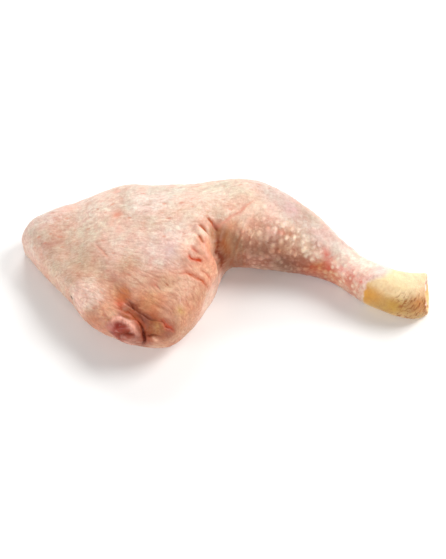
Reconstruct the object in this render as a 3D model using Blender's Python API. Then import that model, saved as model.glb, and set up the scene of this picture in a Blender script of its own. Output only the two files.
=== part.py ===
"""A raw chicken leg: thigh, drumstick and cut hock in one skin, with the shin bone that shows at the cut.

Metres, +Z up. The leg lies on its inner side on Z = 0, the hock towards +X and the crook of the knee
towards -Y, and its origin is under the middle of its box. The sizes below are in millimetres.
"""

import math
from collections import namedtuple

import bmesh
import bpy
import numpy as np
from mathutils import Matrix, Vector, noise

MM = 0.001

# The flesh and its skin are lofted through cross-sections that follow the bones from the hip to the hock.
# Each has its front and back edge in plan, its crown, the height at which it is widest, how far the crest
# stands behind its middle, as a share of half its width, and how far its front shoulder slumps, as a share
# of its height there.
Section = namedtuple("Section", "front_x front_y back_x back_y crown widest crest slump")
SECTIONS = {
    "hip end": Section(-113.5, 23.5, -113.5, 23.5, 11.5, 11.5, 0.1, 0),
    "hip rounding": Section(-109.5, 14, -107.5, 34, 21.5, 11.5, 0.1, 0.05),
    "hip lobe": Section(-98.5, -2, -95, 40, 27, 13, 0.15, 0.1),
    "hip waist": Section(-84.5, -20.5, -81, 47.5, 30.5, 14, 0.2, 0.2),
    "tail fold": Section(-73.5, -37, -68, 50, 35.5, 16, 0.25, 0.3),
    "thigh back": Section(-61, -46, -55, 54, 39, 16.5, 0.25, 0.4),
    "thigh middle": Section(-46.5, -52, -39, 52, 41, 17.5, 0.25, 0.45),
    "thigh front": Section(-31, -53.5, -23, 52, 42.5, 18.5, 0.2, 0.4),
    "thigh bulge": Section(-19, -42, -11, 53.5, 42.5, 18.5, 0.15, 0.3),
    "crook lip": Section(-9, -23.5, 1, 54, 42.5, 19.5, 0.1, 0.2),
    "crook": Section(-1.5, 0.5, 11, 51, 42.5, 19.5, 0.05, 0.1),
    "knee": Section(8.5, 4.5, 22, 49, 42, 19.5, 0, 0),
    "drumstick belly": Section(22.5, 3.5, 38, 41.5, 38, 18.5, 0, 0),
    "shin": Section(40, 2, 52, 31, 32.5, 16.5, 0, 0),
    "ankle": Section(57, -2, 64.5, 14, 28, 15, 0, 0),
    "ankle waist": Section(68.5, -11.5, 74.5, 7, 24, 13.5, 0, 0),
    "yellow edge": Section(78.5, -19.5, 82.5, 1, 23.5, 12.5, 0, 0),
    "hock": Section(92.5, -26.5, 96.5, -4.5, 23.5, 12, 0, 0),
    "hock heel": Section(102, -28.5, 105, -5.5, 23, 12, 0, 0),
    "cut": Section(107.5, -25.5, 110, -5.5, 22.5, 11.5, 0, 0),
}
# A section is a superellipse with these powers above and below its widest height, and its slump grows
# towards the front edge by this power.
CROWN_SQUARENESS = 2.2
BELLY_SQUARENESS = 2.6
SLUMP_SHAPE = 1.5
# The belly would sag this much deeper than the table, so the leg rests flat where it meets it. The skin
# rounds up from the table within a small height.
SAG = 1.08
TABLE_ROUNDING = 1.1

# The fine loft, before it is thinned to the triangles that its folds need. Its rings are spaced by the
# travel along this many places.
RINGS = 230
TRAVEL_PLACES = 4000
CROWN_POINTS = 110
BELLY_POINTS = 40
KEPT_SHARE = 0.12
# Thinning lifts points off the table by a hair, and those within this height go back down.
FLAT_WITHIN = 0.03

# The cut leans back towards its top. Its skin turns over a rim and into a dish round the joint: for each
# ring its share of the cut's width, and how far it stands out from the cut.
CUT_LEAN = 0.17
CUT_LEAN_FROM = 97
CUT_RIM = ((0.975, 0.6), (0.91, 0.9), (0.84, 0.4), (0.79, -0.8), (0.73, -1.8), (0.6, -2.2))

# Folds pressed into the skin: how deep and how wide, how much the skin swells beside them, and the line
# that they follow over the surface. A negative depth is a roll that stands out. A fold fades out over
# this share of its length from each end, and its swell is this many of its widths away.
FOLD_STEPS = 8
FOLD_FADING = (-0.02, 0.22)
SWELL_PLACE = 2.2
Fold = namedtuple("Fold", "depth width swell line")
FOLDS = {
    "over the knob": Fold(
        2.4, 2, 0.7, ((-56, -36, 35), (-48, -43, 34), (-41, -48, 33), (-32, -51, 31), (-27, -52, 24))
    ),
    "behind the knob": Fold(
        4.2, 2.2, 1.1, ((-58, -38, 34), (-51, -43, 33), (-45, -47, 31), (-41, -51, 27), (-42, -54, 18))
    ),
    "beside the tail pad": Fold(
        2.2, 5, 0, ((-76, -8, 34), (-66, -19, 34), (-57, -31, 32), (-50, -37, 32), (-42, -43, 32))
    ),
    "tail pad": Fold(-2.4, 6.5, 0, ((-92, -10, 20), (-80, -22, 24), (-72, -31, 28), (-64, -39, 26))),
    "under the knob": Fold(2.6, 2.3, 0, ((-63, -46, 23), (-56, -52, 19), (-46, -55, 16))),
    "beside the knob": Fold(1.5, 1.5, 0.6, ((-39, -50, 26), (-36, -52, 27), (-31, -53, 24))),
    "crook of the knee": Fold(
        4.7, 3.7, 1.4, ((-5, 17, 43), (-5, 7, 42), (-5, -3, 41), (-4, -7, 34), (-2, -5, 20), (-2, -4, 7))
    ),
    "crook crease": Fold(1.7, 1.7, 0.7, ((-14, 8, 43), (-11, 2, 43), (-8, -3, 42))),
    "next crook crease": Fold(1.4, 1.7, 0.6, ((-18, 2, 43), (-13, -3, 43), (-10, -7, 41))),
    "bulge crease": Fold(1.4, 1.7, 0.6, ((-22, -13, 42), (-18, -17, 41), (-11, -18, 39))),
    "lower bulge crease": Fold(
        1.4, 1.8, 0.6, ((-28, -26, 41), (-20, -26, 40), (-14, -28, 36), (-10, -31, 28))
    ),
    "knee line": Fold(0.3, 2, 0.2, ((20, 31, 40), (12, 21, 42), (3, 12, 41), (-4, 5, 41))),
    "hip waist": Fold(1.6, 8.5, 0, ((-82, 48, 17), (-82, 33, 28), (-85, 8, 32), (-85, -8, 30))),
    "back of the shank": Fold(1.1, 3.7, 0, ((74, 8, 13), (73, 0, 24), (71, -11, 22))),
}

# Pads of flesh and fat under the skin: how far they stand out, how far they spread, and where.
Pad = namedtuple("Pad", "height spread middle")
PADS = {
    "knob": Pad(6, 8, (-53, -54, 22)),
    "hip lobe": Pad(1.4, 15, (-98, 13, 26)),
    "back of the thigh": Pad(1.9, 14, (-26, -46, 32)),
    "lip of the crook": Pad(2.3, 11, (-12, -13, 40)),
    "kneecap": Pad(1.9, 13, (12, 37, 39)),
    "calf": Pad(1.4, 13, (28, 11, 34)),
    "heel": Pad(0.9, 6.5, (101, -26, 8)),
}
UNEVENNESS = 0.5
UNEVENNESS_SPREAD = 15
NOISE_PLACE = Vector((3.1, 7.4, 1.9))

# The relief fades out below this height, and along the leg between these places before the rim of the cut.
FADE_HEIGHT = 4
FADE_ALONG = (109, 100)

# The shin bone runs down the drumstick from the knee to the joint at the cut: points on its axis, each
# with its radius.
BONE_AXIS = (
    (17.5, 26.5, 21.5, 2.3),
    (19, 26, 21.5, 5.6),
    (22, 24.5, 21.5, 7),
    (29, 21.5, 21, 6),
    (39, 16, 19.5, 3.9),
    (56, 7, 16.5, 3.5),
    (74, -3.5, 14, 3.9),
    (91, -11.5, 12, 4.8),
    (101, -15, 11.5, 5.2),
)
BONE_STEPS = 4
BONE_BEVEL_RESOLUTION = 3
MERGED_WITHIN = 0.001

# At the joint the bone ends in two knuckles with a groove between them, turned round an axis that lies
# across the leg: half the profile, as distances along that axis and radii.
KNUCKLES_MIDDLE = Vector((101.5, -15.8, 11.6))
KNUCKLES_AXIS_TURN = math.radians(-12)
KNUCKLES_PROFILE = ((0, 5.5), (1.7, 5.8), (3.5, 6.7), (5.1, 6.9), (6.6, 6.1), (7.4, 4.2))
KNUCKLES_STEPS = 28
CLEARANCE = 0.35

# The yellow skin of the shank starts at a slanting line.
SHANK_START = Vector((78, -15, 17))
SHANK_TOWARDS = Vector((0.62, -0.78, 0))

# Each surface's colour and roughness.
SKIN = ((0.86, 0.6, 0.48), 0.42)
SHANK_SKIN = ((0.85, 0.62, 0.27), 0.4)
BONE = ((0.83, 0.73, 0.68), 0.35)


def smooth_step(value, low, high):
    share = np.clip((value - low) / (high - low), 0, 1)
    return share * share * (3 - 2 * share)


def catmull_rom(before, start, end, after, share):
    """The value at a share of the way from start to end, on a smooth curve through all four."""
    return 0.5 * (
        2 * start
        + (end - before) * share
        + (2 * before - 5 * start + 4 * end - after) * share**2
        + (3 * start - before - 3 * end + after) * share**3
    )


def curve_through(padded, places):
    """Rows on a smooth curve at each place, counted in whole rows, between an extra first and last row."""
    whole = np.minimum(places.astype(int), len(padded) - 4)
    four = (padded[whole + i] for i in range(4))
    return catmull_rom(*four, (places - whole)[:, None])


def smooth_line(points, steps):
    """A smooth curve through rows of numbers, with this many steps from each row to the next."""
    rows = np.array(points, float)
    padded = np.vstack((2 * rows[0] - rows[1], rows, 2 * rows[-1] - rows[-2]))
    return curve_through(padded, np.arange((len(rows) - 1) * steps + 1) / steps)


def sections_along(places):
    """The section at each place, counted in whole sections from the hip end."""
    rows = np.array(list(SECTIONS.values()), float)
    tip = Section(*rows[0])
    first = Section(*rows[1])
    # Past the rounded hip end the front edge runs on into the back edge, and the crown turns under.
    under = 2 * tip.crown - first.crown
    beyond = (first.back_x, first.back_y, first.front_x, first.front_y, under, *first[5:])
    return curve_through(np.vstack((beyond, rows, 2 * rows[-1] - rows[-2])), places)


def ring_sections():
    """One section for each ring, spaced evenly by the travel of whichever edge moves further."""
    fine = np.linspace(0, len(SECTIONS) - 1, TRAVEL_PLACES)
    moves = np.diff(sections_along(fine), axis=0)
    travel = np.maximum(np.hypot(moves[:, 0], moves[:, 1]), np.hypot(moves[:, 2], moves[:, 3]))
    travelled = np.concatenate(([0], np.cumsum(travel)))
    goals = np.linspace(0, travelled[-1], RINGS + 1)[1:]
    return sections_along(np.interp(goals, travelled, fine))


def ring_outline():
    """Round one ring, from its front edge over the crown and back under the belly: the place across, and
    the shares of the way from the widest height up to the crown and down to the belly."""
    over = np.pi * np.arange(CROWN_POINTS) / CROWN_POINTS
    under = np.pi * np.arange(BELLY_POINTS) / BELLY_POINTS
    power = np.repeat((2 / CROWN_SQUARENESS, 2 / BELLY_SQUARENESS), (CROWN_POINTS, BELLY_POINTS))
    cosine = np.concatenate((-np.cos(over), np.cos(under)))
    across = np.sign(cosine) * np.abs(cosine) ** power
    height = np.concatenate((np.sin(over), np.sin(under))) ** power
    on_crown = np.arange(len(across)) < CROWN_POINTS
    return across, height * on_crown, height * ~on_crown


def above_table(height):
    """Heights kept above the table, rounding into it."""
    rounded = (height + TABLE_ROUNDING) ** 2 / (4 * TABLE_ROUNDING)
    return np.where(height > TABLE_ROUNDING, height, np.where(height > -TABLE_ROUNDING, rounded, 0))


def ring_points():
    """The points of every ring, as an array of rings by points by 3."""
    across, up, down = ring_outline()
    front_x, front_y, back_x, back_y, crown, widest, crest, slump = ring_sections().T[:, :, None]
    up = up * (1 - slump * np.maximum(-across, 0) ** SLUMP_SHAPE)
    leaning = across + crest * up * (1 - across**2)
    x = (front_x + back_x) / 2 + (back_x - front_x) / 2 * leaning
    y = (front_y + back_y) / 2 + (back_y - front_y) / 2 * leaning
    z = widest + (crown - widest) * up - widest * SAG * down
    x = x - (z - widest) * CUT_LEAN * smooth_step(x, CUT_LEAN_FROM, SECTIONS["cut"].front_x)
    rings = np.stack((x, y, above_table(z)), axis=2)
    middle = rings[-1].mean(axis=0)
    outwards = np.array((1, 0, CUT_LEAN))
    rim = [middle + (rings[-1] - middle) * share + outwards * stand for share, stand in CUT_RIM]
    return np.concatenate((rings, rim))


def add_loft(bm):
    """Faces between the rings, with a point at the hip end and a flat face in the dish of the cut."""
    tip = SECTIONS["hip end"]
    pole = bm.verts.new((tip.front_x, tip.front_y, tip.crown))
    rings = [[bm.verts.new(point) for point in ring] for ring in ring_points()]
    for start, end in zip(rings[0], rings[0][1:] + rings[0][:1]):
        bm.faces.new((pole, start, end))
    for ring, further in zip(rings, rings[1:]):
        for corners in zip(ring, further, further[1:] + further[:1], ring[1:] + ring[:1]):
            bm.faces.new(corners)
    bm.faces.new(rings[-1])
    bmesh.ops.recalc_face_normals(bm, faces=bm.faces)


def distance_to_line(points, line):
    """How far each point is from a line of short straight pieces, and where along it it is nearest."""
    nearest = np.full(len(points), np.inf)
    along = np.zeros(len(points))
    for i, (start, end) in enumerate(zip(line, line[1:])):
        run = end - start
        share = np.clip((points - start) @ run / (run @ run), 0, 1)
        distance = np.linalg.norm(points - start - share[:, None] * run, axis=1)
        closer = distance < nearest
        nearest[closer] = distance[closer]
        along[closer] = (i + share[closer]) / (len(line) - 1)
    return nearest, along


def bell(value):
    return np.exp(-(value**2))


def relief(points):
    """How far the skin stands out from the plain loft at each point."""
    uneven = [noise.noise(Vector(point) / UNEVENNESS_SPREAD + NOISE_PLACE) for point in points]
    height = UNEVENNESS * np.array(uneven)
    for pad in PADS.values():
        height += pad.height * bell(np.linalg.norm(points - pad.middle, axis=1) / pad.spread)
    for fold in FOLDS.values():
        distance, along = distance_to_line(points, smooth_line(fold.line, FOLD_STEPS))
        fading = smooth_step(np.minimum(along, 1 - along), *FOLD_FADING)
        groove = fold.depth * bell(distance / fold.width)
        beside = fold.swell * bell(distance / fold.width - SWELL_PLACE)
        height += fading * (beside - groove)
    return height


def shape_skin(mesh):
    """Raises the pads and presses the folds, and keeps the skin above the table."""
    points = np.empty(len(mesh.vertices) * 3)
    normals = np.empty_like(points)
    mesh.vertices.foreach_get("co", points)
    mesh.vertices.foreach_get("normal", normals)
    points = points.reshape(-1, 3)
    free = smooth_step(points[:, 2], 0, FADE_HEIGHT) * smooth_step(points[:, 0], *FADE_ALONG)
    points += normals.reshape(-1, 3) * (relief(points) * free)[:, None]
    points[:, 2] = np.maximum(points[:, 2], 0)
    mesh.vertices.foreach_set("co", points.ravel())
    mesh.update()


def material(name, colour, roughness):
    made = bpy.data.materials.new(name)
    made.use_nodes = True
    made.diffuse_color = (*colour, 1)
    shader = made.node_tree.nodes["Principled BSDF"]
    shader.inputs["Base Color"].default_value = (*colour, 1)
    shader.inputs["Roughness"].default_value = roughness
    return made


def add_object(name, mesh, collection):
    obj = bpy.data.objects.new(name, mesh)
    collection.objects.link(obj)
    return obj


def add_cutter(name, mesh, collection):
    obj = add_object(name, mesh, collection)
    obj.hide_render = True
    obj.display_type = "WIRE"
    return obj


def evaluated_mesh(obj):
    """The object's mesh with its modifiers applied, and the object removed."""
    bpy.context.view_layer.update()
    graph = bpy.context.evaluated_depsgraph_get()
    mesh = bpy.data.meshes.new_from_object(obj.evaluated_get(graph))
    bpy.data.objects.remove(obj)
    return mesh


def make_leg(collection):
    bm = bmesh.new()
    add_loft(bm)
    fine = bpy.data.meshes.new("leg")
    bm.to_mesh(fine)
    bm.free()
    shape_skin(fine)
    dense = add_object("dense leg", fine, collection)
    thinning = dense.modifiers.new("Thinning", "DECIMATE")
    thinning.ratio = KEPT_SHARE
    thinned = evaluated_mesh(dense)
    thinned.name = "leg"
    for vertex in thinned.vertices:
        if vertex.co.z < FLAT_WITHIN:
            vertex.co.z = 0
    thinned.materials.append(material("skin", *SKIN))
    thinned.materials.append(material("yellow shank skin", *SHANK_SKIN))
    for face in thinned.polygons:
        face.material_index = int((face.center - SHANK_START).dot(SHANK_TOWARDS) > 0)
    thinned.shade_smooth()
    return add_object("leg", thinned, collection)


def shaft_mesh(name, wider):
    """The round shaft of the bone, as a mesh with capped ends."""
    curve = bpy.data.curves.new(name, "CURVE")
    curve.dimensions = "3D"
    curve.bevel_depth = 1
    curve.bevel_resolution = BONE_BEVEL_RESOLUTION
    curve.use_fill_caps = True
    rows = smooth_line(BONE_AXIS, BONE_STEPS)
    spline = curve.splines.new("POLY")
    spline.points.add(len(rows) - 1)
    for point, (x, y, z, radius) in zip(spline.points, rows):
        point.co = (x, y, z, 1)
        point.radius = radius + wider
    mesh = evaluated_mesh(add_object(name, curve, bpy.context.scene.collection))
    bm = bmesh.new()
    bm.from_mesh(mesh)
    bmesh.ops.remove_doubles(bm, verts=bm.verts, dist=MERGED_WITHIN)
    bm.to_mesh(mesh)
    bm.free()
    return mesh


def knuckles_mesh(name, wider):
    """The two knuckles of the joint, turned round the axis that lies across the leg."""
    half = [(along, radius + wider) for along, radius in KNUCKLES_PROFILE]
    outside = KNUCKLES_PROFILE[-1][0] + wider
    profile = [(-along, radius) for along, radius in half[:0:-1]] + half
    profile = [(-outside, 0), (-outside, half[-1][1]), *profile[1:-1], (outside, half[-1][1]), (outside, 0)]
    bm = bmesh.new()
    verts = [bm.verts.new((0, along, radius)) for along, radius in profile]
    edges = [bm.edges.new(ends) for ends in zip(verts, verts[1:])]
    bmesh.ops.spin(
        bm, geom=verts + edges, axis=(0, 1, 0), cent=(0, 0, 0), angle=math.tau, steps=KNUCKLES_STEPS,
        use_merge=True,
    )
    bmesh.ops.remove_doubles(bm, verts=bm.verts, dist=MERGED_WITHIN)
    bmesh.ops.recalc_face_normals(bm, faces=bm.faces)
    bm.transform(Matrix.Translation(KNUCKLES_MIDDLE) @ Matrix.Rotation(KNUCKLES_AXIS_TURN, 4, "Z"))
    mesh = bpy.data.meshes.new(name)
    bm.to_mesh(mesh)
    bm.free()
    return mesh


def join(obj, other):
    union = obj.modifiers.new("Joined", "BOOLEAN")
    union.operation = "UNION"
    union.object = other


def main():
    for obj in list(bpy.data.objects):
        bpy.data.objects.remove(obj)
    parts = bpy.data.collections.new("raw chicken leg")
    cutters = bpy.data.collections.new("cutters")
    for collection in (parts, cutters):
        bpy.context.scene.collection.children.link(collection)

    leg = make_leg(parts)
    bone = add_object("shin_bone", shaft_mesh("shin_bone", 0), parts)
    bone.data.materials.append(material("bone and cartilage", *BONE))
    bone.data.shade_smooth()
    join(bone, add_cutter("knuckles", knuckles_mesh("knuckles", 0), cutters))
    bore = add_cutter("bore", shaft_mesh("bore", CLEARANCE), cutters)
    join(bore, add_cutter("bore knuckles", knuckles_mesh("bore knuckles", CLEARANCE), cutters))
    cut = leg.modifiers.new("Bore", "BOOLEAN")
    cut.operation = "DIFFERENCE"
    cut.object = bore

    # The origin moves under the middle of the leg's box, and the millimetres become metres.
    corners = [Vector(corner) for corner in leg.bound_box]
    low = Vector(map(min, zip(*corners)))
    high = Vector(map(max, zip(*corners)))
    middle = (low + high) / 2
    settle = Matrix.Scale(MM, 4) @ Matrix.Translation((-middle.x, -middle.y, -low.z))
    for obj in (*parts.objects, *cutters.objects):
        obj.data.transform(settle)


main()
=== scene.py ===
"""A raw chicken leg with its skin on, lying skin side up on a pale table in soft light.

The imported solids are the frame. The skin replaces the leg's solid, and the bone replaces the shin bone's.
Lengths are in millimetres on the frame's axes, and become metres where they enter a mesh or the scene.
"""

import math
from collections import namedtuple

import bmesh
import bpy
import numpy as np
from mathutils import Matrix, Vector, bvhtree, kdtree, noise


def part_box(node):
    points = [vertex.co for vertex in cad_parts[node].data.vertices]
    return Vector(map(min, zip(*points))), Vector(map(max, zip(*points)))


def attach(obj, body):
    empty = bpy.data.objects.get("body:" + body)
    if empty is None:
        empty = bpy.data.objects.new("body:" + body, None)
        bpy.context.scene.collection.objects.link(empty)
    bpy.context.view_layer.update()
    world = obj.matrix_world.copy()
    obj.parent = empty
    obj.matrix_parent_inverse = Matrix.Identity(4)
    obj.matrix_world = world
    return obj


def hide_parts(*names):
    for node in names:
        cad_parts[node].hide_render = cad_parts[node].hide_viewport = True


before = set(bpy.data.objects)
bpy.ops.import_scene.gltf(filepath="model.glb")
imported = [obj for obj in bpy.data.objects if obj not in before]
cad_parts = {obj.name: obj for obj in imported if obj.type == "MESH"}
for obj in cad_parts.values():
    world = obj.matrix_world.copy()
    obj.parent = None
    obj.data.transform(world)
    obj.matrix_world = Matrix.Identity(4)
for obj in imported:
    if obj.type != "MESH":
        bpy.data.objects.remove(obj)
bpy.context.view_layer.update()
scene = bpy.context.scene


# ---------------------------------------------------------------------------------------------------
# The table: a wide pale board with a matt white finish, which the leg lies on. It isn't part of the
# leg. Four large lamps stand round it, the strongest high at its hock end and behind, in a pale room.
MM = 0.001
TABLE_SIDE = 4000
TABLE_WHITE = (0.92, 0.915, 0.91)
TABLE_SHADE = (0.89, 0.885, 0.88)
TABLE_CLOUD = 90
TABLE_GRAIN = 1.5


class Value:
    """One output of a shader node. Sums, differences and products of it add Math nodes."""

    def __init__(self, finish, socket):
        self.finish = finish
        self.socket = socket

    def math(self, operation, *values):
        return self.finish.node("ShaderNodeMath", {"operation": operation}, dict(enumerate(values)))

    def __add__(self, other):
        return self.math("ADD", self, other)

    def __radd__(self, other):
        return self.math("ADD", other, self)

    def __sub__(self, other):
        return self.math("SUBTRACT", self, other)

    def __rsub__(self, other):
        return self.math("SUBTRACT", other, self)

    def __mul__(self, other):
        return self.math("MULTIPLY", self, other)

    def __rmul__(self, other):
        return self.math("MULTIPLY", other, self)


class Finish:
    """A procedural material: its nodes, and the Principled shader that they feed."""

    def __init__(self, name):
        self.material = bpy.data.materials.new(name)
        self.material.use_nodes = True
        self.tree = self.material.node_tree
        self.shader = self.tree.nodes["Principled BSDF"]

    def node(self, kind, settings=None, sockets=None, output=0):
        """Adds a node, sets it up, then gives its sockets their values or links."""
        made = self.tree.nodes.new(kind)
        for name, value in (settings or {}).items():
            setattr(made, name, value)
        for name, value in (sockets or {}).items():
            self.feed(made.inputs[name], value)
        return Value(self, made.outputs[output])

    def feed(self, socket, value):
        if isinstance(value, Value):
            self.tree.links.new(value.socket, socket)
        elif socket.type == "RGBA":
            socket.default_value = (*value, 1)
        else:
            socket.default_value = value

    def set(self, **values):
        """Feeds the shader's own sockets, named with _ for a space."""
        for name, value in values.items():
            self.feed(self.shader.inputs[name.replace("_", " ")], value)

    def place(self):
        """Where on the object a point is, in millimetres."""
        coordinates = self.node("ShaderNodeTexCoord", output="Object")
        return self.stretch(coordinates, (1 / MM, 1 / MM, 1 / MM))

    def stretch(self, place, scales):
        return self.node("ShaderNodeVectorMath", {"operation": "MULTIPLY"}, {0: place, 1: scales})

    def noise(self, place, size, detail=2.0, roughness=0.5):
        """Soft noise from 0 to 1, with blotches about this many millimetres across."""
        sockets = {"Vector": place, "Scale": 1 / size, "Detail": detail, "Roughness": roughness}
        return self.node("ShaderNodeTexNoise", None, sockets)

    def step(self, value, low, high):
        """0 below low, 1 above high, and smooth between."""
        sockets = {"Value": value, "From Min": low, "From Max": high}
        return self.node("ShaderNodeMapRange", {"interpolation_type": "SMOOTHSTEP"}, sockets)

    def mix(self, share, first, second, blend="MIX"):
        settings = {"data_type": "RGBA", "blend_type": blend}
        return self.node("ShaderNodeMix", settings, {0: share, 6: first, 7: second}, output=2)

    def attribute(self, name, output="Fac"):
        return self.node("ShaderNodeAttribute", {"attribute_name": name}, output=output)

    def bump(self, height, distance, strength):
        """A bump of this height, where 1 of it stands this many millimetres out."""
        sockets = {"Height": height, "Distance": distance * MM, "Strength": strength}
        return self.node("ShaderNodeBump", None, sockets)


def table_finish():
    finish = Finish("white table")
    place = finish.place()
    cloud = finish.noise(place, TABLE_CLOUD, detail=3)
    finish.set(
        Base_Color=finish.mix(cloud, TABLE_WHITE, TABLE_SHADE),
        Roughness=0.6 + 0.1 * cloud,
        Normal=finish.bump(finish.noise(place, TABLE_GRAIN), distance=0.05, strength=0.15),
    )
    return finish.material


def add_piece(name, mesh, finish):
    """An object at the origin that holds a mesh in metres, with one finish."""
    mesh.materials.clear()
    mesh.materials.append(finish)
    mesh.shade_smooth()
    piece = bpy.data.objects.new(name, mesh)
    scene.collection.objects.link(piece)
    return piece


board = bmesh.new()
bmesh.ops.create_grid(board, x_segments=8, y_segments=8, size=TABLE_SIDE / 2 * MM)
table_mesh = bpy.data.meshes.new("table")
board.to_mesh(table_mesh)
board.free()
table = add_piece("table", table_mesh, table_finish())


def aim(obj, target, towards, distance):
    """Puts obj at this distance from the target, in a direction, looking back at it."""
    towards = Vector(towards).normalized()
    obj.location = (Vector(target) + distance * towards) * MM
    obj.rotation_euler = (-towards).to_track_quat("-Z", "Y").to_euler()


def add_lamp(name, towards, distance, side, power, colour):
    light = bpy.data.lights.new(name, "AREA")
    light.shape = "SQUARE"
    light.size = side * MM
    light.energy = power
    light.color = colour
    lamp = bpy.data.objects.new(name, light)
    scene.collection.objects.link(lamp)
    aim(lamp, (0, 0, 0), towards, distance)


WHITE_LIGHT = (1, 0.995, 0.985)
WARM_LIGHT = (1, 0.99, 0.98)
ROOM_STRENGTH = 0.28
add_lamp("main light", (0.8, 0.3, 0.8), distance=1200, side=600, power=12, colour=WHITE_LIGHT)
add_lamp("back light", (0, 1, 0.6), distance=1200, side=600, power=9, colour=WHITE_LIGHT)
add_lamp("side light", (-1, -0.6, 0.5), distance=1200, side=600, power=6, colour=WARM_LIGHT)
add_lamp("front light", (0.3, -1, 0.5), distance=1500, side=900, power=8, colour=WARM_LIGHT)
scene.world = bpy.data.worlds.new("pale room")
scene.world.use_nodes = True
room = scene.world.node_tree.nodes["Background"].inputs
room["Color"].default_value = (*WARM_LIGHT, 1)
room["Strength"].default_value = ROOM_STRENGTH
scene.view_settings.view_transform = "Standard"

VIEW_TARGET = (-0.6, -3.3, 8.6)
VIEW_ELEVATION = math.radians(50)
VIEW_DISTANCE = 853.5
LENS = 100
SENSOR_WIDTH = 36
camera = bpy.data.objects.new("camera", bpy.data.cameras.new("camera"))
scene.collection.objects.link(camera)
camera.data.lens = LENS
camera.data.sensor_width = SENSOR_WIDTH
aim(camera, VIEW_TARGET, (0, -math.cos(VIEW_ELEVATION), math.sin(VIEW_ELEVATION)), VIEW_DISTANCE)
scene.camera = camera


# ---------------------------------------------------------------------------------------------------
# The skin: one soft moist skin over fat and flesh, from the hip end over the thigh, knee and drumstick
# to the cut hock. It is grown on the bird, loose and creased where the joints bend, pimpled where the
# feathers stood, and scaly and yellow past the ankle.
FACE_SIDE = 0.6
SMOOTHING_ROUNDS = 14


def smooth_step(value, low, high):
    share = np.clip((value - low) / (high - low), 0, 1)
    return share * share * (3 - 2 * share)


def bell(value):
    return np.exp(-(value**2))


def uneven(points, spread, seed=0.0):
    """Soft noise at each point, from about -1 to 1, with swells of about this size."""
    spread = np.broadcast_to(spread, 3)
    return np.array([noise.noise(Vector(place)) for place in points / spread + seed])


# The soft random shifts take their seed from the clock unless one is set.
SHIFT_SEED = 5
noise.seed_set(SHIFT_SEED)


def uneven_shift(points, spread):
    """A soft random shift for each point, of about 1 at most, that turns over about this distance."""
    return np.array([noise.noise_vector(Vector(place)) for place in points / spread])


def srgb(red, green, blue):
    """A colour named as on a colour card, 0 to 255, as the share of light that it returns."""
    shares = np.array((red, green, blue)) / 255
    return tuple(np.where(shares > 0.04045, ((shares + 0.055) / 1.055) ** 2.4, shares / 12.92))


def smooth_line(points, steps):
    """A smooth curve through rows of numbers, with this many steps from each row to the next."""
    rows = np.array(points, float)
    rows = np.vstack((2 * rows[0] - rows[1], rows, 2 * rows[-1] - rows[-2]))
    places = np.arange((len(points) - 1) * steps + 1) / steps
    whole = np.minimum(places.astype(int), len(points) - 2)
    share = (places - whole)[:, None]
    before, start, end, after = (rows[whole + i] for i in range(4))
    return 0.5 * (
        2 * start
        + (end - before) * share
        + (2 * before - 5 * start + 4 * end - after) * share**2
        + (3 * start - before - 3 * end + after) * share**3
    )


def nearest_on_line(points, line):
    """The nearest place to each point on a line of short straight pieces: how far away it is, where along
    the line it is from 0 to 1, and the place itself."""
    nearest = np.full(len(points), np.inf)
    along = np.zeros(len(points))
    places = np.zeros_like(points)
    for i, (start, end) in enumerate(zip(line, line[1:])):
        run = end - start
        share = np.clip((points - start) @ run / (run @ run), 0, 1)
        on_line = start + share[:, None] * run
        distance = np.linalg.norm(points - on_line, axis=1)
        closer = distance < nearest
        nearest[closer] = distance[closer]
        along[closer] = (i + share[closer]) / (len(line) - 1)
        places[closer] = on_line[closer]
    return nearest, along, places


def merged_copy(node):
    """A copy of a solid's mesh with its loose triangles joined."""
    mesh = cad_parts[node].data.copy()
    mesh.materials.clear()
    bm = bmesh.new()
    bm.from_mesh(mesh)
    bmesh.ops.remove_doubles(bm, verts=bm.verts, dist=1e-6)
    bm.to_mesh(mesh)
    bm.free()
    return mesh


def modified(mesh, *modifiers):
    """The mesh with modifiers applied, each a type and its settings."""
    obj = bpy.data.objects.new("work", mesh)
    scene.collection.objects.link(obj)
    for kind, settings in modifiers:
        modifier = obj.modifiers.new(kind, kind)
        for name, value in settings.items():
            setattr(modifier, name, value)
    bpy.context.view_layer.update()
    graph = bpy.context.evaluated_depsgraph_get()
    made = bpy.data.meshes.new_from_object(obj.evaluated_get(graph))
    bpy.data.objects.remove(obj)
    return made


def read(mesh, what):
    values = np.empty(len(mesh.vertices) * 3)
    mesh.vertices.foreach_get(what, values)
    return values.reshape(-1, 3)


skin_mesh = modified(
    merged_copy("leg"),
    ("REMESH", {"mode": "VOXEL", "voxel_size": FACE_SIDE * MM}),
    ("SMOOTH", {"factor": 0.5, "iterations": SMOOTHING_ROUNDS}),
)
skin = read(skin_mesh, "co") / MM
skin_normals = read(skin_mesh, "normal")

# How far each point of the skin stands out, how far it is drawn sideways, and the stains and painted shade
# laid over
# it: red, green, blue and cover, each times the cover.
height = np.zeros(len(skin))
drawn = np.zeros_like(skin)
stain_and_shade = np.zeros((len(skin), 4))


def add_stain_and_shade(where, colour, cover):
    """Lays a colour over the stains and painted shade at some points, covering them by a share at each."""
    layer = np.append(srgb(*colour), 1)
    stain_and_shade[where] += cover[:, None] * (layer - stain_and_shade[where])


# What shows through the skin or lies in its folds. The deepest red-brown is also painted shade in the
# deepest folds of the roll.
ROSE = (222, 140, 122)
BLOOD = (204, 84, 58)
MAUVE = (214, 178, 180)
OLIVE = (188, 144, 94)
BROWN = (154, 74, 34)
DEEP_RED_AND_SHADE = (104, 28, 12)
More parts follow.
